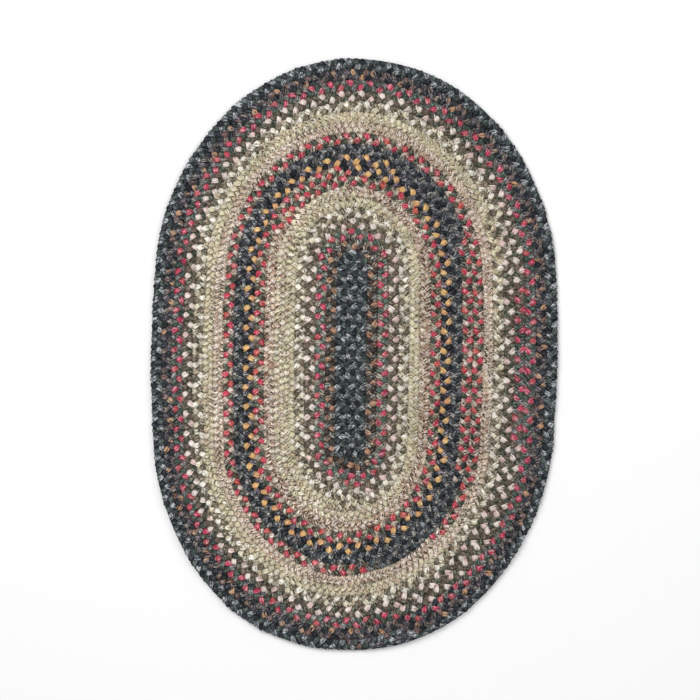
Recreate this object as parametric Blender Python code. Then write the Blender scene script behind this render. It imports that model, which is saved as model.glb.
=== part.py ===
"""A braided rug: one flat braid coiled into an oval and laced row to row.

The braid starts as a straight run down the rug, a little left of its middle, turns
back on itself at the near end and winds outwards, clockwise as seen from above. Its
tail narrows over the right shoulder of the near end and runs out at that end's middle.
Metres, +Z up, the rug's long axis along Y with its near end at -Y, and the rows'
underside at Z = 0.
"""

import math

import bmesh
import bpy

# Driving dimensions of the rug
RUG_WIDTH = 0.610          # across the rows, outer edge to outer edge
RUG_LENGTH = 0.887         # along the first run, end to end
ROWS_ACROSS = 39           # the first run, and 19 rows on each side of it
THICKNESS = 0.009          # of the braid, two strands thick where they cross

# Section of one row, as shares of its pitch and as a depth
SHOULDER_IN = 0.25         # from the groove to the near shoulder of the row
SHOULDER_OUT = 0.75        # from the groove to the far shoulder of the row
GROOVE_DEPTH = 0.0024      # how far the groove between two rows lies below their tops

# The coil
SHOULDER_DRAW = 0.040      # how much the rows draw in on the rug's four shoulders
LOOSE_SHOULDER = 0.0065    # and lie looser, by up to 5 mm, on the far right and near left
LOOSE_FROM = 0.70          # of the way out from the first run, where that begins
FIRST_RUN_LEFT = 0.0056    # the first run lies this far left of the rug's middle
FIRST_RUN_SHORT = 0.0060   # and each of its ends stops this much short of even rows
# The tail's width, as shares of a row, one step of the turn apart
TAIL_WIDTHS = (1.0, 0.90, 0.82, 0.80, 0.80, 0.80, 0.74, 0.60, 0.40, 0.20, 0.0)

# How finely the coil is cut up
STEPS_ALONG_SIDE = 4
STEPS_ROUND_END = 20

PITCH = RUG_WIDTH / ROWS_ACROSS
TURNS = ROWS_ACROSS // 2
# The rows turn about the start of the first run at the far end, and at the near end
# about the fold between the first run and the next row, half a row to its left.
FIRST_RUN = RUG_LENGTH - (2 * TURNS + 0.5) * PITCH
NEAR_CENTRE = (-PITCH / 2, -FIRST_RUN / 2 - PITCH / 4)
FAR_CENTRE = (0.0, NEAR_CENTRE[1] + FIRST_RUN)
STEPS_PER_TURN = 2 * (STEPS_ALONG_SIDE + STEPS_ROUND_END)
MERGE = 0.00001

YARN_COLOUR = (0.190, 0.160, 0.135, 1.0)
YARN_ROUGHNESS = 0.92


def clear_scene():
    for item in list(bpy.data.objects):
        bpy.data.objects.remove(item, do_unlink=True)


def drawn_in(x, y):
    """The place of a point once the shoulders have drawn in, and two of them lie looser."""
    nearest = min(max(y, NEAR_CENTRE[1]), FAR_CENTRE[1])
    beyond = y - nearest
    angle = math.atan2(abs(beyond), abs(x)) if x or beyond else 0.0
    round_edge = abs(nearest) + angle * RUG_WIDTH / 2
    quarter = FIRST_RUN / 2 + math.pi / 2 * RUG_WIDTH / 2
    share = 1.0 - SHOULDER_DRAW * math.sin(math.pi * min(round_edge / quarter, 1.0)) ** 2
    if x * beyond > 0.0:
        from_run = math.hypot(x, beyond)
        outer = max(from_run / (RUG_WIDTH / 2) - LOOSE_FROM, 0.0) / (1.0 - LOOSE_FROM)
        share += LOOSE_SHOULDER * angle * math.sin(2 * angle) ** 2 * outer ** 2 / from_run
    return x * share, nearest + beyond * share


def settled(x, y):
    """The place of a point of even rows in the real coil, which is wider at right and ends."""
    x, y = drawn_in(x, y)
    across = x - FIRST_RUN_LEFT * (1.0 - abs(x) / (RUG_WIDTH / 2))
    half_run = FIRST_RUN / 2
    beyond = max(abs(y) - half_run, 0.0) / (RUG_LENGTH / 2 - half_run)
    shorter = FIRST_RUN_SHORT * min(abs(y) / half_run, 1.0) * (1.0 - beyond)
    return across, y - math.copysign(shorter, y)


def row_point(station, offset):
    """A point of the coil: offset is measured outwards from the row's inner groove."""
    turn, step = divmod(station, STEPS_PER_TURN)
    inner = turn * PITCH + offset
    if step <= STEPS_ALONG_SIDE:
        height = FAR_CENTRE[1] - FIRST_RUN * step / STEPS_ALONG_SIDE
        return settled(inner - PITCH / 2, height)
    step -= STEPS_ALONG_SIDE
    if step <= STEPS_ROUND_END:
        angle = math.pi * step / STEPS_ROUND_END
        across = inner * math.cos(angle)
        return settled(NEAR_CENTRE[0] + across, NEAR_CENTRE[1] - inner * math.sin(angle))
    step -= STEPS_ROUND_END
    if step <= STEPS_ALONG_SIDE:
        height = NEAR_CENTRE[1] + FIRST_RUN * step / STEPS_ALONG_SIDE
        return settled(-inner - PITCH / 2, height)
    step -= STEPS_ALONG_SIDE
    angle = math.pi * step / STEPS_ROUND_END
    radius = inner + PITCH / 2
    return settled(-radius * math.cos(angle), FAR_CENTRE[1] + radius * math.sin(angle))


def row_section(station, width):
    """Where one row is cut across: groove, shoulder, shoulder, groove, with their rise.

    The rise is 0 in a groove and 1 on the flat top of the row. width is the share of
    the pitch that the row takes up, which is less than 1 only in the tail.
    """
    rise = min(1.0, 0.3 + 0.7 * width) if width > 0 else 0.0
    return [
        (row_point(station, 0.0), 0.0),
        (row_point(station, SHOULDER_IN * width * PITCH), rise),
        (row_point(station, SHOULDER_OUT * width * PITCH), rise),
        (row_point(station, width * PITCH), 0.0),
    ]


def raised(place, rise, face):
    """The 3D point of a place in plan, on the rug's upper face (1) or under face (-1)."""
    sunk = GROOVE_DEPTH * (1.0 - rise)
    height = THICKNESS - sunk if face > 0 else sunk
    return (place[0], place[1], height)


def add_face(mesh, points, face):
    """A face of points that run clockwise in plan: kept below, and turned round above."""
    corners = [mesh.verts.new(point) for point in points]
    mesh.faces.new(corners[::-1] if face > 0 else corners)


def add_rows(mesh, last_station, widths):
    """Both faces of the coil, one strip of three faces for each step along it."""
    for station in range(last_station):
        here = row_section(station, widths.get(station, 1.0))
        after = row_section(station + 1, widths.get(station + 1, 1.0))
        for face in (1, -1):
            for inner, outer in ((0, 1), (1, 2), (2, 3)):
                ring = (here[inner], here[outer], after[outer], after[inner])
                add_face(mesh, [raised(place, rise, face) for place, rise in ring], face)


def add_blunt_start(mesh):
    """The rounded end of the first run, which the second turn passes round."""
    first = 2 * STEPS_ALONG_SIDE + STEPS_ROUND_END
    groove = [row_point(first + step, 0.0) for step in range(STEPS_ROUND_END + 1)]
    crest_share = SHOULDER_OUT - 0.5
    crest = [row_point(first + step, (crest_share - 0.5) * PITCH) for step in range(STEPS_ROUND_END + 1)]
    for face in (1, -1):
        add_face(mesh, [raised(place, 1.0, face) for place in crest], face)
        for step in range(STEPS_ROUND_END):
            ring = (
                (crest[step], 1.0),
                (groove[step], 0.0),
                (groove[step + 1], 0.0),
                (crest[step + 1], 1.0),
            )
            add_face(mesh, [raised(place, rise, face) for place, rise in ring], face)


def add_rim(mesh, last_station, widths):
    """The outer wall of the last turn, which closes the rug between its two faces."""
    for station in range(last_station - STEPS_PER_TURN, last_station):
        near = row_section(station, widths.get(station, 1.0))[-1][0]
        far = row_section(station + 1, widths.get(station + 1, 1.0))[-1][0]
        wall = (
            raised(near, 0.0, -1),
            raised(far, 0.0, -1),
            raised(far, 0.0, 1),
            raised(near, 0.0, 1),
        )
        add_face(mesh, wall, 1)


def rug_material():
    material = bpy.data.materials.new("cotton_braid")
    material.use_nodes = True
    shader = material.node_tree.nodes["Principled BSDF"]
    shader.inputs["Base Color"].default_value = YARN_COLOUR
    shader.inputs["Roughness"].default_value = YARN_ROUGHNESS
    shader.inputs["Metallic"].default_value = 0.0
    return material


def build_rug():
    tail_start = TURNS * STEPS_PER_TURN + STEPS_ALONG_SIDE
    last_station = tail_start + len(TAIL_WIDTHS) - 1
    widths = {tail_start + step: width for step, width in enumerate(TAIL_WIDTHS)}
    mesh = bmesh.new()
    add_rows(mesh, last_station, widths)
    add_blunt_start(mesh)
    add_rim(mesh, last_station, widths)
    bmesh.ops.remove_doubles(mesh, verts=mesh.verts, dist=MERGE)
    bmesh.ops.triangulate(mesh, faces=mesh.faces)
    data = bpy.data.meshes.new("braided_rug")
    mesh.to_mesh(data)
    mesh.free()
    data.materials.append(rug_material())
    data.shade_smooth()
    data.set_sharp_from_angle(angle=math.radians(60))
    rug = bpy.data.objects.new("braided_rug", data)
    bpy.context.scene.collection.objects.link(rug)
    return rug


clear_scene()
build_rug()
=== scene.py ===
import math

import bpy
import numpy as np
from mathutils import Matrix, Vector


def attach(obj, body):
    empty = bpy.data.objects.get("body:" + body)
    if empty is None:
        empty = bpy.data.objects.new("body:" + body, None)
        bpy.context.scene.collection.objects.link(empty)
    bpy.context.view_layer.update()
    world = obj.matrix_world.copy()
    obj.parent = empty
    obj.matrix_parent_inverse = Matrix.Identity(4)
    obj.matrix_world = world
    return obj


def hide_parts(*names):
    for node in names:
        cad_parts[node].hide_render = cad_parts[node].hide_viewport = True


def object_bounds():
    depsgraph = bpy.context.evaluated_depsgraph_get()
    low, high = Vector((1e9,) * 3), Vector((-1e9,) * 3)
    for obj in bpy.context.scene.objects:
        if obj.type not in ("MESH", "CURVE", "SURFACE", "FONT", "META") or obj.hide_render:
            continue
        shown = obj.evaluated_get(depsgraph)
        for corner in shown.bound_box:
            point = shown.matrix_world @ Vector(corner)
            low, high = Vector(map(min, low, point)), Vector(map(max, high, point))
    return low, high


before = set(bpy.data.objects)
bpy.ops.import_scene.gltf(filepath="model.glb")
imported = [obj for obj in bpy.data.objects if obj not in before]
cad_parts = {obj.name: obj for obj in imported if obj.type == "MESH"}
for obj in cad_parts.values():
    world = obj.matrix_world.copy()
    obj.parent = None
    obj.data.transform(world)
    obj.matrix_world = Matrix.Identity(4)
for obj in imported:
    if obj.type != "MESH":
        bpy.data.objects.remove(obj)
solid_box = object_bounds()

# ------------------------------------------------------------------ the line of the coil
# The rug is one long braid, wound clockwise from a straight first run in the middle.
# This is its middle line, a curve along which the strands are laid; it is removed at the end.
ROWS_ACROSS = 39
LOBES_OVER = 0.0013                      # the lobes reach past the braid's even edge
RUG_WIDTH = solid_box[1][0] - solid_box[0][0] - 2 * LOBES_OVER
RUG_LENGTH = solid_box[1][1] - solid_box[0][1] - 2 * LOBES_OVER
PITCH = RUG_WIDTH / ROWS_ACROSS          # from one row to the next, the braid's width
TURNS = ROWS_ACROSS // 2
FIRST_RUN = RUG_LENGTH - (2 * TURNS + 0.5) * PITCH
NEAR_CENTRE = (-PITCH / 2, -FIRST_RUN / 2 - PITCH / 4)
FAR_CENTRE = (0.0, NEAR_CENTRE[1] + FIRST_RUN)
SHOULDER_DRAW = 0.040                    # how much the rows draw in on the rug's four shoulders
LOOSE_SHOULDER = 0.0065                  # and lie looser, by up to 5 mm, on the far right and near left
LOOSE_FROM = 0.70                        # of the way out from the first run, where that begins
RUN_LEFT = 0.0056                        # the first run lies this far left of the rug's middle
RUN_SHORT = 0.0060                       # and stops this much short of its even length, at each end
SIDE, END = 4, 20                        # stations of a turn on one side, and round one end
TURN = 2 * (SIDE + END)
TAIL_START = TURNS * TURN + SIDE
TAIL_STEPS = 10                          # stations over which the braid narrows to its tip
TAIL_END = TAIL_START + TAIL_STEPS
START_LENGTH = 0.007                     # of braid, above the far end of the first run
SIDE_STEP, END_STEP = 1 / 2, 1 / 3       # stations between two points of the line


def drawn_in(x, y):
    """The place of a point once the shoulders have drawn in, and two of them lie looser."""
    nearest = min(max(y, NEAR_CENTRE[1]), FAR_CENTRE[1])
    beyond = y - nearest
    angle = math.atan2(abs(beyond), abs(x)) if x or beyond else 0.0
    round_edge = abs(nearest) + angle * RUG_WIDTH / 2
    quarter = FIRST_RUN / 2 + math.pi / 2 * RUG_WIDTH / 2
    share = 1.0 - SHOULDER_DRAW * math.sin(math.pi * min(round_edge / quarter, 1.0)) ** 2
    if x * beyond > 0.0:
        from_run = math.hypot(x, beyond)
        outer = max(from_run / (RUG_WIDTH / 2) - LOOSE_FROM, 0.0) / (1.0 - LOOSE_FROM)
        share += LOOSE_SHOULDER * angle * math.sin(2 * angle) ** 2 * outer ** 2 / from_run
    return x * share, nearest + beyond * share


def settled(x, y):
    """A place in the even coil, moved as the real rows lie: wider on the right and at the ends."""
    x, y = drawn_in(x, y)
    x -= RUN_LEFT * (1.0 - abs(x) / (RUG_WIDTH / 2))
    half_run = FIRST_RUN / 2
    beyond = max(abs(y) - half_run, 0.0) / (RUG_LENGTH / 2 - half_run)
    y -= math.copysign(RUN_SHORT * min(abs(y) / half_run, 1.0) * (1.0 - beyond), y)
    return x, y


def coil_point(station):
    """The braid's middle: down the right side, round the near end, up the left, round the far end."""
    turn, step = divmod(station, TURN)
    middle = (turn + 0.5) * PITCH
    if step <= SIDE:
        return settled(middle - PITCH / 2, FAR_CENTRE[1] - FIRST_RUN * step / SIDE)
    step -= SIDE
    if step <= END:
        angle = math.pi * step / END
        x = NEAR_CENTRE[0] + middle * math.cos(angle)
        return settled(x, NEAR_CENTRE[1] - middle * math.sin(angle))
    step -= END
    if step <= SIDE:
        return settled(-middle - PITCH / 2, NEAR_CENTRE[1] + FIRST_RUN * step / SIDE)
    angle = math.pi * (step - SIDE) / END
    radius = middle + PITCH / 2
    return settled(-radius * math.cos(angle), FAR_CENTRE[1] + radius * math.sin(angle))


stations = [0.0]
while stations[-1] < TAIL_END:
    step = stations[-1] % TURN
    on_side = step < SIDE or SIDE + END <= step < 2 * SIDE + END
    stations.append(round(stations[-1] + (SIDE_STEP if on_side else END_STEP), 6))
    if abs(stations[-1] - round(stations[-1])) < 0.01:   # three thirds make a whole one
        stations[-1] = float(round(stations[-1]))
coil = [coil_point(station) for station in stations]
coil.insert(0, (coil[0][0], coil[0][1] + START_LENGTH))
hops = [math.dist(a, b) for a, b in zip(coil, coil[1:])]
lengths = np.cumsum(hops)                # of braid, from its start to each point of the line

line_data = bpy.data.curves.new("coil_line", "CURVE")
line_data.dimensions = "3D"
line_data.twist_mode = "Z_UP"
spline = line_data.splines.new("POLY")
spline.points.add(len(coil) - 1)
for point, (x, y) in zip(spline.points, coil):
    point.co = (x, y, 0.0, 1.0)
coil_line = bpy.data.objects.new("coil_line", line_data)
bpy.context.collection.objects.link(coil_line)


def length_at(station):
    """The length of braid from its start to a station."""
    return float(np.interp(station, stations, lengths))


# ------------------------------------------------------------------ a strand
# Each of the braid's three strands is a soft cloth tube. It is folded on its side at the
# braid's edge, opens out flat as it crosses over, and passes under the next one.
THICKNESS = solid_box[1][2] - solid_box[0][2]
REPEAT = 0.0295                          # of braid, in which a strand goes to both edges and back
RINGS = 12                               # round one repeat
SIDES = 8                                # round the strand
FIRST_ANGLE = math.radians(15)           # so that rings lie on the tops of the lobes
SWING = 0.0049                           # from the braid's middle to the strand's, at the edge
LIFT = 0.0021                            # from the braid's mid height to the strand's, on a lobe
EARLY_RISE = 0.25                        # a strand rises fast at the edge and sinks slowly
EDGE_WIDE, EDGE_THICK = 0.0040, 0.0026   # half sizes of the strand, folded at the edge
OPEN_WIDE, OPEN_THICK = 0.0060, 0.0021   # and opened out at the middle
PUFF = 0.0002                            # more thickness on a lobe
ROLL_HASTE = 0.7                         # under 1, the strand rolls over fast near the edge
FOLD = math.radians(108)                 # how far the strand rolls over at each edge
LAG = math.radians(20)                   # it drifts inwards slowly on top, and hurries back below


def lagging(angle):
    """The angle of a repeat as the strand goes through it, late on top and early below."""
    return angle - LAG * math.cos(angle) ** 2


def ring_centre(angle):
    """How far out the strand's middle lies, and how high."""
    across = SWING * math.sin(lagging(angle))
    height = THICKNESS / 2 - LIFT * (math.sin(2 * angle) - EARLY_RISE * math.sin(4 * angle))
    return across, height


def ring_size(angle):
    """The strand's half width and half thickness."""
    opened = math.sqrt(abs(math.cos(lagging(angle))))
    wide = EDGE_WIDE + (OPEN_WIDE - EDGE_WIDE) * opened
    thick = EDGE_THICK + (OPEN_THICK - EDGE_THICK) * opened + PUFF * abs(math.sin(2 * angle))
    return wide, thick


def ring_roll(angle):
    """How far the strand's flat side is turned about the line of the braid."""
    inwards = math.cos(lagging(angle))
    return math.pi / 2 + FOLD * math.copysign(abs(inwards) ** ROLL_HASTE, inwards)


def roll_ring(angle, centre):
    """Roll the selected ring about the line of the braid."""
    bpy.ops.transform.rotate(value=angle, orient_axis="X", center_override=centre)


bpy.ops.object.select_all(action="DESELECT")
bpy.ops.mesh.primitive_circle_add(vertices=SIDES, radius=1.0, rotation=(math.pi / 2, 0.0, math.pi / 2))
strand = bpy.context.object
strand.name = "strand_repeat"
bpy.ops.object.transform_apply(location=False, rotation=True, scale=False)
bpy.ops.object.mode_set(mode="EDIT")
bpy.ops.mesh.select_all(action="SELECT")
centre, size, roll = (0.0, 0.0, 0.0), (1.0, 1.0), 0.0
for ring in range(RINGS + 1):
    angle = FIRST_ANGLE + 2 * math.pi * ring / RINGS
    if ring:
        bpy.ops.mesh.extrude_region_move()
    across, height = ring_centre(angle)
    new_centre = (REPEAT * ring / RINGS, across, height)
    bpy.ops.transform.translate(value=[b - a for a, b in zip(centre, new_centre)])
    centre = new_centre
    new_size = ring_size(angle)
    roll_ring(-roll, centre)
    bpy.ops.transform.resize(
        value=(1.0, new_size[0] / size[0], new_size[1] / size[1]), center_override=centre
    )
    size = new_size
    roll = ring_roll(angle)
    roll_ring(roll, centre)
bpy.ops.mesh.select_all(action="SELECT")
bpy.ops.mesh.normals_make_consistent(inside=False)
bpy.ops.object.mode_set(mode="OBJECT")
bpy.ops.object.shade_smooth()

# The strand's own map: U goes round it, and V counts its repeats.
strand_map = strand.data.uv_layers.new(name="strand")
for face in strand.data.polygons:
    rings = [strand.data.loops[i].vertex_index // SIDES for i in face.loop_indices]
    sides = [strand.data.loops[i].vertex_index % SIDES for i in face.loop_indices]
    closes = max(sides) - min(sides) > 1
    for i, ring, side in zip(face.loop_indices, rings, sides):
        strand_map.data[i].uv = ((SIDES if closes and side == 0 else side) / SIDES, ring / RINGS)

# ------------------------------------------------------------------ the yarns
# The strands are cotton blend cloth strips and knitted tubes, plain or mottled like tweed.
# One group makes the mottling and the threads, and paints shade into the creases and folds; each yarn
# has its own colours and shares.
ROUND_MM, REPEAT_MM = 3.4, 33.0          # a strand's mean radius, and about its length in one repeat
NOISE_TOP = 0.65                         # noise hardly ever rises over this level,
NOISE_FALL = 0.30                        # and hardly ever sinks this far below it
SECOND_SCALE, FLECK_SCALE = 0.32, 0.52   # patches of the second colour and flecks, in a millimetre
MOTTLE_DETAIL, MOTTLE_ALONG = 3.0, 0.60  # under 1, a pattern is drawn out along the strand
FLECK_EDGE, DIP_EDGE = 0.035, 0.05       # how soft the edges of flecks and dips are
DIPS_IN_REPEAT = 1.37                    # waves of the dipped colour in one repeat
DIP_STEP = 7.3                           # waves by which one yarn's dips are ahead of the last one's
CREASE_SCALE, CREASE_ALONG = 0.55, 0.16  # creases in a millimetre, round the strand
CREASE_DETAIL = 3.0
PATCH_SCALE = 70.0                       # patches of uneven dye in a metre
SHADE_LOW, SHADE_HIGH = 0.6, 1.4         # of the creases and the patches together
DARKEST, LIGHTEST = 0.72, 1.25           # the colour there, as a share of its own: painted crease shade and light, with uneven dye
FOLD_LOW, FOLD_HIGH = 0.0012, 0.0036     # from the rug's mid height to where the painted shade of the folds ends
FOLD_PAINTED_SHADE = 0.88                        # the colour's share down in the folds, as painted shade
THREAD_SCALE, THREAD_ALONG = 2.4, 0.35   # threads in a millimetre
THREAD_DEPTH = 0.35                      # as a share of a crease's
CREASE_DEPTH, BUMP_STRENGTH = 0.0006, 0.5
ROUGHNESS, SPECULAR = 0.92, 0.10         # matt cotton


def add_node(tree, kind, place, **settings):
    """A new node of this kind, with these settings."""
    node = tree.nodes.new(kind)
    node.location = place
    for name, value in settings.items():
        setattr(node, name, value)
    return node


def share_mask(tree, noise, share, edge, place):
    """A mask that is 1 over about this share of the cloth, where the noise is highest."""
    level = add_node(tree, "ShaderNodeMath", (place[0], place[1] - 180), operation="MULTIPLY_ADD")
    level.inputs[1].default_value = -NOISE_FALL
    level.inputs[2].default_value = NOISE_TOP
    tree.links.new(share, level.inputs[0])
    above = add_node(tree, "ShaderNodeMath", (place[0] + 180, place[1]), operation="SUBTRACT")
    tree.links.new(noise, above.inputs[0])
    tree.links.new(level.outputs[0], above.inputs[1])
    mask = add_node(tree, "ShaderNodeMapRange", (place[0] + 360, place[1]))
    mask.inputs["From Min"].default_value = -edge
    mask.inputs["From Max"].default_value = edge
    tree.links.new(above.outputs[0], mask.inputs["Value"])
    return mask.outputs["Result"]


def mottle_mask(tree, vector, share, scale, place):
    """Ragged flecks over this share of the cloth, larger for a smaller scale."""
    noise = add_node(tree, "ShaderNodeTexNoise", (place[0] - 180, place[1]))
    noise.inputs["Scale"].default_value = scale
    noise.inputs["Detail"].default_value = MOTTLE_DETAIL
    tree.links.new(vector, noise.inputs["Vector"])
    return share_mask(tree, noise.outputs["Fac"], share, FLECK_EDGE, place)


def stretched(tree, vector, along, place):
    """Places on the strand, squeezed so that a pattern on them is drawn out along it."""
    mapping = add_node(tree, "ShaderNodeMapping", place)
    mapping.inputs["Scale"].default_value = (1.0, 1.0, along)
    tree.links.new(vector, mapping.inputs["Vector"])
    return mapping.outputs["Vector"]


def mixed(tree, mask, first, second, place):
    """The first colour, with the second one where the mask is 1."""
    mix = add_node(tree, "ShaderNodeMix", place, data_type="RGBA")
    tree.links.new(mask, mix.inputs["Factor"])
    tree.links.new(first, mix.inputs["A"])
    tree.links.new(second, mix.inputs["B"])
    return mix.outputs["Result"]


yarn_marl = bpy.data.node_groups.new("yarn_marl", "ShaderNodeTree")
for name in ("Ground", "Second", "Fleck", "Dip"):
    yarn_marl.interface.new_socket(name, in_out="INPUT", socket_type="NodeSocketColor")
for name in ("Second Share", "Fleck Share", "Dip Share", "Dip Start"):
    yarn_marl.interface.new_socket(name, in_out="INPUT", socket_type="NodeSocketFloat")
yarn_marl.interface.new_socket("Color", in_out="OUTPUT", socket_type="NodeSocketColor")
yarn_marl.interface.new_socket("Height", in_out="OUTPUT", socket_type="NodeSocketFloat")
given = add_node(yarn_marl, "NodeGroupInput", (-1400, 0))
result = add_node(yarn_marl, "NodeGroupOutput", (1400, 0))

# Places on the strand in millimetres, wrapped round so that no seam shows.
cloth_map = add_node(yarn_marl, "ShaderNodeUVMap", (-1400, 400), uv_map="strand")
split = add_node(yarn_marl, "ShaderNodeSeparateXYZ", (-1220, 400))
yarn_marl.links.new(cloth_map.outputs["UV"], split.inputs[0])
turn_round = add_node(yarn_marl, "ShaderNodeMath", (-1040, 500), operation="MULTIPLY")
turn_round.inputs[1].default_value = 2 * math.pi
yarn_marl.links.new(split.outputs["X"], turn_round.inputs[0])
wrapped = add_node(yarn_marl, "ShaderNodeCombineXYZ", (-680, 400))
for place, axis, operation in ((500, "X", "COSINE"), (300, "Y", "SINE")):
    wave = add_node(yarn_marl, "ShaderNodeMath", (-860, place), operation=operation)
    yarn_marl.links.new(turn_round.outputs[0], wave.inputs[0])
    yarn_marl.links.new(wave.outputs[0], wrapped.inputs[axis])
yarn_marl.links.new(split.outputs["Y"], wrapped.inputs["Z"])
in_mm = add_node(yarn_marl, "ShaderNodeVectorMath", (-500, 400), operation="MULTIPLY")
in_mm.inputs[1].default_value = (ROUND_MM, ROUND_MM, REPEAT_MM)
yarn_marl.links.new(wrapped.outputs[0], in_mm.inputs[0])
cloth = in_mm.outputs[0]

streaks = stretched(yarn_marl, cloth, MOTTLE_ALONG, (-300, 300))
second = mottle_mask(yarn_marl, streaks, given.outputs["Second Share"], SECOND_SCALE, (-100, 300))
fleck = mottle_mask(yarn_marl, streaks, given.outputs["Fleck Share"], FLECK_SCALE, (-100, -100))

# The cloth is dipped in a further colour here and there, over about the length of a lobe.
dip_place = add_node(yarn_marl, "ShaderNodeMath", (-700, 900), operation="MULTIPLY_ADD")
dip_place.inputs[1].default_value = DIPS_IN_REPEAT
yarn_marl.links.new(split.outputs["Y"], dip_place.inputs[0])
yarn_marl.links.new(given.outputs["Dip Start"], dip_place.inputs[2])
dips = add_node(yarn_marl, "ShaderNodeTexNoise", (-500, 900), noise_dimensions="1D")
dips.inputs["Scale"].default_value = 1.0
dips.inputs["Detail"].default_value = 0.0
yarn_marl.links.new(dip_place.outputs[0], dips.inputs["W"])
dip = share_mask(yarn_marl, dips.outputs["Fac"], given.outputs["Dip Share"], DIP_EDGE, (-300, 900))

dipped = mixed(yarn_marl, dip, given.outputs["Ground"], given.outputs["Dip"], (300, 500))
marled = mixed(yarn_marl, second, dipped, given.outputs["Second"], (500, 300))
flecked = mixed(yarn_marl, fleck, marled, given.outputs["Fleck"], (700, 200))

# Long soft creases in the cloth, and uneven dye along the whole braid.
# The creases also darken the colour in them as painted shade, and lighten it on their crests as painted
# light.
creases = add_node(yarn_marl, "ShaderNodeTexNoise", (-100, -500))
creases.inputs["Scale"].default_value = CREASE_SCALE
creases.inputs["Detail"].default_value = CREASE_DETAIL
crease_places = stretched(yarn_marl, cloth, CREASE_ALONG, (-300, -500))
yarn_marl.links.new(crease_places, creases.inputs["Vector"])
places = add_node(yarn_marl, "ShaderNodeTexCoord", (-500, -800))
uneven = add_node(yarn_marl, "ShaderNodeTexNoise", (-100, -800))
uneven.inputs["Scale"].default_value = PATCH_SCALE
uneven.inputs["Detail"].default_value = 1.0
yarn_marl.links.new(places.outputs["Object"], uneven.inputs["Vector"])
shade = add_node(yarn_marl, "ShaderNodeMath", (200, -600), operation="ADD")
yarn_marl.links.new(creases.outputs["Fac"], shade.inputs[0])
yarn_marl.links.new(uneven.outputs["Fac"], shade.inputs[1])
crease_shade_and_dye = add_node(yarn_marl, "ShaderNodeMapRange", (400, -600))
crease_shade_and_dye.inputs["From Min"].default_value = SHADE_LOW
crease_shade_and_dye.inputs["From Max"].default_value = SHADE_HIGH
crease_shade_and_dye.inputs["To Min"].default_value = DARKEST
crease_shade_and_dye.inputs["To Max"].default_value = LIGHTEST
yarn_marl.links.new(shade.outputs[0], crease_shade_and_dye.inputs["Value"])

# Painted shade: the cloth's colour is darker down in the folds, towards the rug's mid height.
heights = add_node(yarn_marl, "ShaderNodeSeparateXYZ", (-300, -1000))
yarn_marl.links.new(places.outputs["Object"], heights.inputs[0])
from_middle = add_node(yarn_marl, "ShaderNodeMath", (-100, -1000), operation="SUBTRACT")
from_middle.inputs[1].default_value = THICKNESS / 2
yarn_marl.links.new(heights.outputs["Z"], from_middle.inputs[0])
either_face = add_node(yarn_marl, "ShaderNodeMath", (80, -1000), operation="ABSOLUTE")
yarn_marl.links.new(from_middle.outputs[0], either_face.inputs[0])
folds = add_node(yarn_marl, "ShaderNodeMapRange", (260, -1000))
folds.inputs["From Min"].default_value = FOLD_LOW
folds.inputs["From Max"].default_value = FOLD_HIGH
folds.inputs["To Min"].default_value = FOLD_PAINTED_SHADE
folds.inputs["To Max"].default_value = 1.0
yarn_marl.links.new(either_face.outputs[0], folds.inputs["Value"])
# The cloth's colour, with the painted shade of the creases and the folds, and the dye's uneven patches.
shaded = add_node(yarn_marl, "ShaderNodeMath", (640, -700), operation="MULTIPLY")
yarn_marl.links.new(crease_shade_and_dye.outputs["Result"], shaded.inputs[0])
yarn_marl.links.new(folds.outputs["Result"], shaded.inputs[1])
colour_with_painted_shade = add_node(yarn_marl, "ShaderNodeVectorMath", (900, 200), operation="SCALE")
yarn_marl.links.new(flecked, colour_with_painted_shade.inputs[0])
yarn_marl.links.new(shaded.outputs[0], colour_with_painted_shade.inputs["Scale"])
yarn_marl.links.new(colour_with_painted_shade.outputs[0], result.inputs["Color"])

# Fine threads on the cloth, with the creases over them, raise its surface.
threads = add_node(yarn_marl, "ShaderNodeTexNoise", (-100, -1100))
threads.inputs["Scale"].default_value = THREAD_SCALE
threads.inputs["Detail"].default_value = 1.0
thread_places = stretched(yarn_marl, cloth, THREAD_ALONG, (-300, -1100))
yarn_marl.links.new(thread_places, threads.inputs["Vector"])
relief = add_node(yarn_marl, "ShaderNodeMath", (600, -900), operation="MULTIPLY_ADD")
relief.inputs[1].default_value = THREAD_DEPTH
yarn_marl.links.new(threads.outputs["Fac"], relief.inputs[0])
yarn_marl.links.new(creases.outputs["Fac"], relief.inputs[2])
yarn_marl.links.new(relief.outputs[0], result.inputs["Height"])


def dye(red, green, blue):
    """A colour given as it looks, from 0 to 255, in the shader's own linear light."""
    shares = [level / 255 for level in (red, green, blue)]
    linear = [s / 12.92 if s <= 0.04045 else ((s + 0.055) / 1.055) ** 2.4 for s in shares]
    return (*linear, 1.0)


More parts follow.
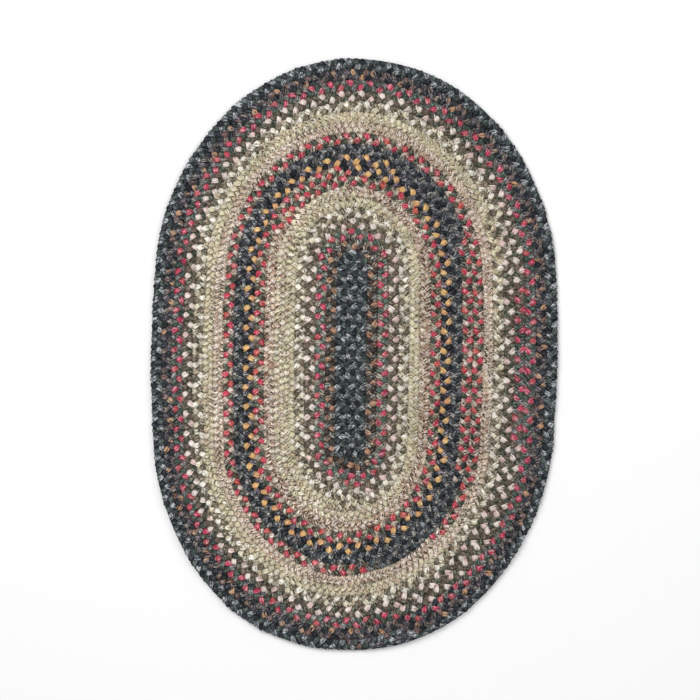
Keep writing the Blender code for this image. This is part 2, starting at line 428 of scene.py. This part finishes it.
# For each yarn its ground colour, and then the second colour, the flecks' colour and the
# dipped colour, each with its share of the cloth.
YARNS = {
    "black_heather": ((41, 45, 49), (27, 30, 33), 0.36, (92, 97, 102), 0.20, (59, 62, 69), 0.30),
    "bottle_heather": ((61, 71, 68), (41, 48, 47), 0.34, (116, 126, 123), 0.30, (73, 82, 84), 0.30),
    "slate_marl": ((96, 101, 105), (50, 55, 59), 0.34, (188, 191, 193), 0.36, (78, 84, 92), 0.30),
    "brown_black": ((62, 53, 50), (36, 31, 30), 0.38, (114, 103, 96), 0.20, (58, 62, 58), 0.35),
    "tan": ((172, 128, 103), (98, 72, 58), 0.36, (204, 178, 152), 0.24, (84, 76, 75), 0.55),
    "slate_tweed": ((82, 82, 80), (44, 45, 46), 0.34, (184, 183, 177), 0.30, (92, 85, 86), 0.30),
    "red": ((194, 68, 88), (134, 50, 64), 0.34, (211, 152, 154), 0.28, (192, 90, 78), 0.38),
    "rose": ((192, 66, 92), (132, 50, 69), 0.34, (208, 154, 162), 0.29, (178, 84, 84), 0.36),
    "dark_green": ((78, 93, 85), (52, 60, 56), 0.34, (134, 146, 137), 0.28, (88, 80, 72), 0.30),
    "moss_tweed": ((130, 121, 110), (74, 67, 61), 0.32, (194, 189, 177), 0.32, (104, 114, 104), 0.35),
    "fern_tweed": ((98, 96, 94), (56, 55, 55), 0.34, (168, 166, 163), 0.30, (88, 96, 95), 0.35),
    "dusty_pink": ((222, 209, 201), (164, 142, 132), 0.22, (236, 230, 224), 0.22, (216, 186, 180), 0.28),
    "olive_brown": ((112, 101, 85), (72, 63, 52), 0.34, (170, 158, 140), 0.28, (94, 93, 80), 0.35),
    "dark_brown": ((100, 88, 78), (68, 59, 53), 0.34, (150, 138, 126), 0.24, (92, 92, 78), 0.35),
    "cream": ((224, 218, 205), (118, 108, 90), 0.26, (244, 241, 234), 0.30, (212, 204, 172), 0.34),
    "sage": ((158, 152, 134), (67, 60, 49), 0.35, (226, 221, 206), 0.34, (172, 155, 129), 0.35),
    "khaki": ((198, 188, 166), (84, 74, 58), 0.28, (216, 213, 176), 0.33, (184, 164, 143), 0.42),
    "khaki_cream": ((202, 191, 172), (86, 74, 60), 0.28, (235, 228, 213), 0.34, (189, 180, 145), 0.42),
    "beige_tweed": ((184, 166, 145), (67, 57, 46), 0.35, (235, 226, 211), 0.34, (179, 150, 131), 0.42),
    "pink_tweed": ((202, 181, 166), (66, 54, 46), 0.34, (227, 217, 211), 0.32, (187, 169, 140), 0.42),
    "fawn_tweed": ((158, 129, 110), (55, 45, 38), 0.37, (226, 208, 189), 0.32, (132, 97, 85), 0.38),
    # A darker tweed, only for the rug's body, as painted shade in the gaps of the light rows.
    "umber_tweed_painted_shade": ((134, 120, 101), (86, 76, 64), 0.35, (184, 172, 150), 0.25, (116, 104, 90), 0.40),
    "charcoal_green": ((70, 75, 66), (38, 40, 36), 0.36, (138, 140, 126), 0.28, (96, 80, 68), 0.38),
    "grey_tweed": ((160, 148, 132), (60, 53, 46), 0.34, (222, 212, 197), 0.34, (126, 124, 104), 0.35),
    "gold": ((210, 166, 108), (194, 138, 99), 0.32, (226, 206, 152), 0.28, (206, 154, 112), 0.42),
    "navy_black": ((36, 37, 42), (22, 23, 26), 0.38, (88, 92, 100), 0.22, (41, 47, 45), 0.40),
    "lavender": ((92, 84, 93), (46, 43, 49), 0.36, (176, 168, 174), 0.27, (62, 72, 68), 0.40),
    "navy_marl": ((76, 79, 84), (46, 48, 52), 0.34, (150, 153, 157), 0.32, (64, 72, 74), 0.35),
    "candy_tweed": ((174, 155, 141), (66, 64, 53), 0.34, (236, 219, 210), 0.36, (146, 138, 118), 0.35),
    "teal_green": ((62, 75, 70), (38, 46, 43), 0.34, (116, 131, 121), 0.28, (84, 76, 68), 0.38),
    "ember_tweed": ((88, 83, 81), (46, 44, 44), 0.36, (162, 155, 149), 0.26, (196, 150, 114), 0.30),
    "plum_tweed": ((78, 73, 79), (44, 42, 46), 0.36, (142, 137, 142), 0.28, (128, 96, 86), 0.30),
}

yarns = {}
for number, (name, dyes) in enumerate(YARNS.items()):
    ground, second_dye, second_share, fleck_dye, fleck_share, dip_dye, dip_share = dyes
    yarn = bpy.data.materials.new(name)
    yarn.use_nodes = True
    tree = yarn.node_tree
    shader = tree.nodes["Principled BSDF"]
    shader.inputs["Roughness"].default_value = ROUGHNESS
    shader.inputs["Specular IOR Level"].default_value = SPECULAR
    marl = add_node(tree, "ShaderNodeGroup", (-500, 200), node_tree=yarn_marl)
    marl.inputs["Ground"].default_value = dye(*ground)
    marl.inputs["Second"].default_value = dye(*second_dye)
    marl.inputs["Second Share"].default_value = second_share
    marl.inputs["Fleck"].default_value = dye(*fleck_dye)
    marl.inputs["Fleck Share"].default_value = fleck_share
    marl.inputs["Dip"].default_value = dye(*dip_dye)
    marl.inputs["Dip Share"].default_value = dip_share
    marl.inputs["Dip Start"].default_value = DIP_STEP * number
    bump = add_node(tree, "ShaderNodeBump", (-250, -100))
    bump.inputs["Strength"].default_value = BUMP_STRENGTH
    bump.inputs["Distance"].default_value = CREASE_DEPTH
    tree.links.new(marl.outputs["Color"], shader.inputs["Base Color"])
    tree.links.new(marl.outputs["Height"], bump.inputs["Height"])
    tree.links.new(bump.outputs["Normal"], shader.inputs["Normal"])
    yarns[name] = yarn

# ------------------------------------------------------------------ the braid
# Three strands are braided and laced flat as the coil grows, and each changes its yarn in
# its own place, where a new strip is sewn on. Some strips are short, as at rows 23 and 33.
# A piece here is one turn of the coil, and the last one narrows to the tail.

# The yarns of each strand, and the row that each starts in. Rows are counted from the
# middle, on the right side as 1, 3, 5 and on the left as 2, 4, 6.
STRANDS = (
    ((0, "slate_marl"), (3.4, "tan"), (5.3, "rose"), (7.5, "dusty_pink"), (9.45, "cream"),
     (11.4, "khaki"), (14.5, "beige_tweed"), (16.2, "red"), (18.49, "gold"), (20.6, "navy_marl"),
     (22.85, "red"), (23.14, "navy_marl"), (23.45, "red"), (25.3, "pink_tweed"), (27.3, "khaki"),
     (28.9, "cream"), (30.85, "dusty_pink"), (32.93, "rose"), (33.07, "dusty_pink"), (33.4, "rose"),
     (35.4, "ember_tweed"), (37.4, "slate_marl")),
    ((0, "black_heather"), (3.4, "brown_black"), (5.4, "dark_green"), (7.4, "olive_brown"),
     (9.4, "sage"), (11.4, "khaki_cream"), (14.45, "fawn_tweed"), (16.25, "charcoal_green"),
     (18.43, "navy_black"), (20.5, "black_heather"), (22.85, "charcoal_green"),
     (23.1, "black_heather"), (23.4, "charcoal_green"), (25.25, "beige_tweed"), (27.2, "khaki_cream"),
     (28.8, "olive_brown"), (30.8, "dark_brown"), (32.95, "teal_green"), (33.05, "dark_brown"),
     (33.4, "teal_green"), (35.3, "black_heather"), (37.4, "bottle_heather")),
    ((0, "bottle_heather"), (3.5, "slate_tweed"), (5.5, "moss_tweed"), (7.6, "dark_brown"),
     (9.5, "olive_brown"), (11.5, "khaki"), (13.1, "beige_tweed"), (14.4, "pink_tweed"),
     (16.35, "grey_tweed"), (18.5, "lavender"), (20.7, "slate_tweed"), (22.9, "candy_tweed"),
     (23.15, "slate_tweed"), (23.45, "candy_tweed"), (25.4, "beige_tweed"), (27.4, "khaki"),
     (28.95, "sage"), (30.9, "charcoal_green"), (32.98, "fern_tweed"), (33.1, "charcoal_green"),
     (33.45, "fern_tweed"), (35.4, "plum_tweed"), (37.5, "black_heather")),
)
# The tail's share of a full braid's width and height at each station. It narrows over the
# near right shoulder, and runs out at the middle of the near end.
TAIL_WIDTHS = (1.0, 0.90, 0.82, 0.80, 0.80, 0.80, 0.74, 0.60, 0.40, 0.20, 0.0)
TAIL_HEIGHTS = (1.0, 1.0, 1.0, 1.0, 1.0, 1.0, 0.98, 0.92, 0.80, 0.60, 0.3)
START_WIDTH = 0.55                       # of the braid, at the very start of the first run
SLACK, CRUMPLE = 0.0036, 0.0028          # how far the rows wander, and the lobes differ
SLACK_SIZE, CRUMPLE_SIZE = 0.045, 0.009  # over about this length of braid
FLOOR_GAP = 0.0001                       # the lowest folds lie flat, this far above the floor
braid_end = length_at(TAIL_END)
tail_lengths = [length_at(TAIL_START + step) for step in range(len(TAIL_WIDTHS))]


def row_length(row):
    """The length of braid from its start to the middle of this row's side."""
    return length_at(SIDE / 2 + (row - 1) * TURN / 2)


def narrow_ends(run):
    """Narrow the braid at its start, about its middle, and at its tail, against the row inside."""
    for vertex in run.data.vertices:
        along = vertex.co.x
        start = min(1.0, START_WIDTH + (1.0 - START_WIDTH) * along / (2 * START_LENGTH))
        width = start * float(np.interp(along, tail_lengths, TAIL_WIDTHS))
        height = start * float(np.interp(along, tail_lengths, TAIL_HEIGHTS))
        held = 0.0 if along < braid_end / 2 else -PITCH / 2
        vertex.co.y = held + (vertex.co.y - held) * width
        vertex.co.z = THICKNESS / 2 + (vertex.co.z - THICKNESS / 2) * height


def apply_modifier(piece, kind, **settings):
    """Add a modifier to the piece and apply it."""
    modifier = piece.modifiers.new(kind.lower(), kind)
    for name, value in settings.items():
        setattr(modifier, name, value)
    bpy.context.view_layer.objects.active = piece
    bpy.ops.object.modifier_apply(modifier=modifier.name)


def lay_run(unit, first, count, offset):
    """This many repeats of a strand or of the body, from repeat number first, laid along the coil."""
    bpy.ops.object.select_all(action="DESELECT")
    unit.select_set(True)
    bpy.context.view_layer.objects.active = unit
    bpy.ops.object.duplicate()
    run = bpy.context.object
    apply_modifier(
        run,
        "ARRAY",
        count=count,
        use_relative_offset=False,
        use_constant_offset=True,
        constant_offset_displace=(REPEAT, 0.0, 0.0),
        use_merge_vertices=True,
        merge_threshold=1e-5,
        offset_v=1.0,
    )
    apply_modifier(run, "UV_WARP", uv_layer="strand", offset=(0.0, float(first)))
    run.location.x = first * REPEAT + offset
    bpy.ops.object.transform_apply(location=True, rotation=False, scale=False)
    if first * REPEAT < 2 * START_LENGTH or (first + count) * REPEAT + offset > tail_lengths[0]:
        narrow_ends(run)
    apply_modifier(run, "CURVE", object=coil_line, deform_axis="POS_X")
    return run


def join_runs(runs, name):
    """Make one piece of the runs, with their open ends closed."""
    bpy.ops.object.select_all(action="DESELECT")
    for run in runs:
        run.select_set(True)
    bpy.context.view_layer.objects.active = runs[0]
    bpy.ops.object.join()
    piece = bpy.context.object
    piece.name = name
    bpy.ops.object.mode_set(mode="EDIT")
    bpy.ops.mesh.select_all(action="SELECT")
    bpy.ops.mesh.fill_holes(sides=SIDES)
    bpy.ops.object.mode_set(mode="OBJECT")
    return piece


slack = bpy.data.textures.new("slack", "CLOUDS")
slack.cloud_type = "COLOR"
slack.noise_scale = SLACK_SIZE
crumple = bpy.data.textures.new("crumple", "CLOUDS")
crumple.cloud_type = "COLOR"
crumple.noise_scale = CRUMPLE_SIZE

# Each strand of a turn is laid in runs, one for each yarn that it has there. The three
# strands are a third of a repeat apart.
piece_ends = [length_at(turn * TURN) for turn in range(1, TURNS)] + [braid_end]
for turn, piece_end in enumerate(piece_ends):
    piece_start = piece_ends[turn - 1] if turn else 0.0
    runs = []
    for number, changes in enumerate(STRANDS):
        offset = REPEAT * number / 3 - REPEAT
        starts = [row_length(row) for row, name in changes[1:]]
        breaks = [round((length - offset) / REPEAT) for length in [piece_start, *starts, piece_end]]
        low, high = breaks[0], breaks[-1]
        names = [name for row, name in changes]
        edges = [low] + [min(max(edge, low), high) for edge in breaks[1:-1]] + [high]
        for name, first, last in zip(names, edges, edges[1:]):
            if last > first:
                run = lay_run(strand, first, last - first, offset)
                run.data.materials.append(yarns[name])
                runs.append(run)
    piece = join_runs(runs, f"coil_{turn + 1:02d}")
    for texture, strength in ((slack, SLACK), (crumple, CRUMPLE)):
        apply_modifier(
            piece,
            "DISPLACE",
            texture=texture,
            texture_coords="LOCAL",
            direction="RGB_TO_XYZ",
            mid_level=0.5,
            strength=strength,
        )
    for vertex in piece.data.vertices:
        vertex.co.z = max(vertex.co.z, FLOOR_GAP)
    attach(piece, "root")
    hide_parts("braided_rug")

# ------------------------------------------------------------------ the body of the rug
# Between its two faces the rug is closed by the strands' inner folds and the lacing thread.
# This is a ribbed strip in the same coil, like the solid's rows but thinner. Its yarns are
# darker than most of the lobes over it. Its yarns are darker than most of the lobes over it, as painted
# shade in the gaps between the lobes.
BODY_SIDES = 8                           # of its section, as round a strand
BODY_PARTS = 3                           # along one repeat of the braid
BODY_CREST = 0.0011                      # from mid height to the strip's upper face, on a row
BODY_SHADE_YARNS = (
    (0, "black_heather"), (3.6, "brown_black"), (7.7, "olive_brown"), (11.4, "umber_tweed_painted_shade"),
    (16.2, "charcoal_green"), (18.5, "navy_black"), (22.7, "charcoal_green"), (25.4, "umber_tweed_painted_shade"),
    (28.8, "olive_brown"), (33.0, "charcoal_green"), (35.4, "brown_black"), (37.5, "black_heather"),
)

bpy.ops.object.select_all(action="DESELECT")
bpy.ops.mesh.primitive_circle_add(
    vertices=BODY_SIDES, radius=1.0, rotation=(math.pi / 2, 0.0, math.pi / 2)
)
body = bpy.context.object
bpy.ops.object.transform_apply(location=False, rotation=True, scale=False)
# The round becomes a low crest on each face, and an upright edge against each next row.
for vertex in body.data.vertices:
    y, z = vertex.co.y, vertex.co.z
    outer = abs(y) > abs(z)
    corner = abs(abs(y) - abs(z)) < 0.1
    vertex.co.y = math.copysign(PITCH / 2, y) if outer or corner else 0.0
    vertex.co.z = THICKNESS / 2 + z * BODY_CREST
bpy.ops.object.mode_set(mode="EDIT")
bpy.ops.mesh.select_all(action="SELECT")
for part in range(BODY_PARTS):
    step = (REPEAT / BODY_PARTS, 0.0, 0.0)
    bpy.ops.mesh.extrude_region_move(TRANSFORM_OT_translate={"value": step})
bpy.ops.mesh.select_all(action="SELECT")
bpy.ops.mesh.normals_make_consistent(inside=False)
bpy.ops.object.mode_set(mode="OBJECT")
body_map = body.data.uv_layers.new(name="strand")
for loop in body.data.loops:
    place = body.data.vertices[loop.vertex_index].co
    body_map.data[loop.index].uv = (place.y / PITCH + 0.5, place.x / REPEAT)

body_runs = []
ends = [0.0] + [row_length(row) for row, name in BODY_SHADE_YARNS[1:]] + [braid_end]
edges = [round(length / REPEAT) for length in ends]
for (row, name), first, last in zip(BODY_SHADE_YARNS, edges, edges[1:]):
    run = lay_run(body, first, last - first, 0.0)
    run.data.materials.append(yarns[name])
    body_runs.append(run)
rug_ground = join_runs(body_runs, "rug_ground")

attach(rug_ground, "root")
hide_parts("braided_rug")

for helper in (strand, body, coil_line):
    bpy.data.objects.remove(helper)

# ------------------------------------------------------------------ floor, light and camera
# A plain white floor, a big soft light at the far left with weaker ones at the right and
# the near side, and a camera that looks straight down, turned so that the rug's far end
# leans a little to the right.
FLOOR_SIZE = 8.0
LIGHT_SIZE = 1.6
IMAGE_WIDTH = 1.0466                     # of what the camera sees at the rug's upper face
LENS, SENSOR = 100.0, 36.0
CAMERA_X, CAMERA_Y = -0.0067, 0.0060
CAMERA_TURN = math.radians(0.88)
SKY_STRENGTH = 0.37
bpy.ops.mesh.primitive_plane_add(size=FLOOR_SIZE)
floor = bpy.context.object
floor.name = "floor"
paper = bpy.data.materials.new("floor_paper")
paper.use_nodes = True
paper_shader = paper.node_tree.nodes["Principled BSDF"]
paper_shader.inputs["Base Color"].default_value = (0.86, 0.86, 0.86, 1.0)
paper_shader.inputs["Roughness"].default_value = 0.8
floor.data.materials.append(paper)


def soft_light(place, power):
    """A square lamp that points at the rug's middle."""
    lamp = bpy.data.lights.new("soft_light", "AREA")
    lamp.size = LIGHT_SIZE
    lamp.energy = power
    holder = bpy.data.objects.new("soft_light", lamp)
    holder.location = place
    holder.rotation_euler = (-Vector(place)).to_track_quat("-Z", "Y").to_euler()
    bpy.context.collection.objects.link(holder)


soft_light((-1.2, 1.4, 2.2), 58)
soft_light((1.8, 0.6, 1.8), 20)
soft_light((0.0, -1.8, 1.8), 16)
sky = bpy.data.worlds.new("soft_room")
sky.use_nodes = True
sky.node_tree.nodes["Background"].inputs["Color"].default_value = (1.0, 1.0, 1.0, 1.0)
sky.node_tree.nodes["Background"].inputs["Strength"].default_value = SKY_STRENGTH
bpy.context.scene.world = sky
bpy.context.scene.view_settings.view_transform = "Standard"

camera_data = bpy.data.cameras.new("camera")
camera_data.lens = LENS
camera_data.sensor_width = SENSOR
camera = bpy.data.objects.new("camera", camera_data)
camera.location = (CAMERA_X, CAMERA_Y, THICKNESS + IMAGE_WIDTH * LENS / SENSOR)
camera.rotation_euler = (0.0, 0.0, CAMERA_TURN)
bpy.context.collection.objects.link(camera)
bpy.context.scene.camera = camera
